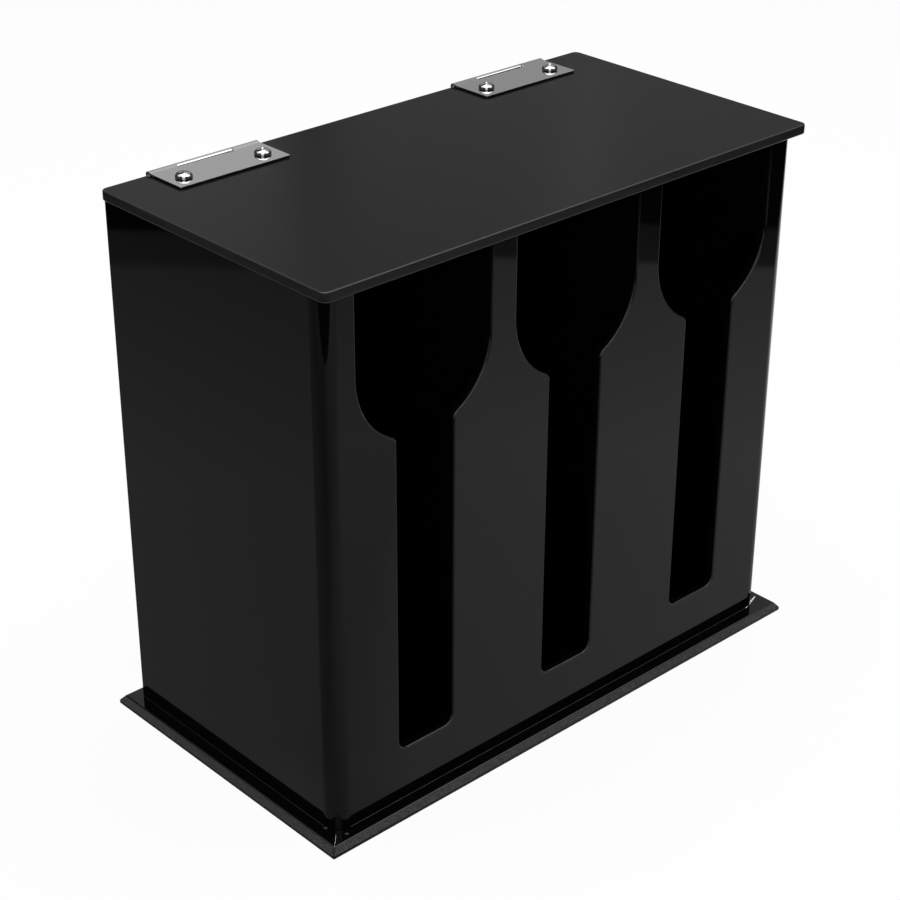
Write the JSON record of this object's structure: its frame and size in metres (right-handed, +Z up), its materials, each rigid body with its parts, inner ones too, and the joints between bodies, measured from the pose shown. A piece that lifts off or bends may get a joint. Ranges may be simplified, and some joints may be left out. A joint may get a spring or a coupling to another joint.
{
  "type": "spoon holder",
  "caption": "Countertop box with slotted front bins for spoons, a flat base plate, and a lid hinged along the rear edge.",
  "frame": {"origin": "middle of the base plate's underside", "axes": "+Z up, +X along the front towards the right-hand end, -Y towards the user, out of the slotted front"},
  "size_m": [0.323, 0.173, 0.2881],
  "materials": {
    "gloss_acrylic": "polished black acrylic sheet",
    "satin_acrylic": "satin black acrylic sheet",
    "pressed_steel": "smooth pressed stainless steel",
    "plated_steel": "bright plated steel"
  },
  "bodies": {
    "case": {"base_plate": "gloss_acrylic", "body_wrap": "gloss_acrylic", "rear_panel": "gloss_acrylic", "divider_1": "gloss_acrylic", "divider_2": "gloss_acrylic", "left_hinge_rear_leaf": "pressed_steel", "left_rear_screw_1": "plated_steel", "left_rear_screw_2": "plated_steel", "left_rear_nut_1": "plated_steel", "left_rear_nut_2": "plated_steel", "right_hinge_rear_leaf": "pressed_steel", "right_rear_screw_1": "plated_steel", "right_rear_screw_2": "plated_steel", "right_rear_nut_1": "plated_steel", "right_rear_nut_2": "plated_steel"},
    "lid": {"lid": "satin_acrylic", "left_hinge_lid_leaf": "pressed_steel", "left_hinge_pin": "plated_steel", "left_lid_screw_1": "plated_steel", "left_lid_screw_2": "plated_steel", "left_lid_nut_1": "plated_steel", "left_lid_nut_2": "plated_steel", "right_hinge_lid_leaf": "pressed_steel", "right_hinge_pin": "plated_steel", "right_lid_screw_1": "plated_steel", "right_lid_screw_2": "plated_steel", "right_lid_nut_1": "plated_steel", "right_lid_nut_2": "plated_steel"}
  },
  "joints": [
    {"name": "lid_hinge", "type": "hinge", "parent": "case", "child": "lid", "pos_m": [0, 0.0774, 0.284], "axis": [-1, 0, 0], "range_deg": [0, 190]}
  ]
}
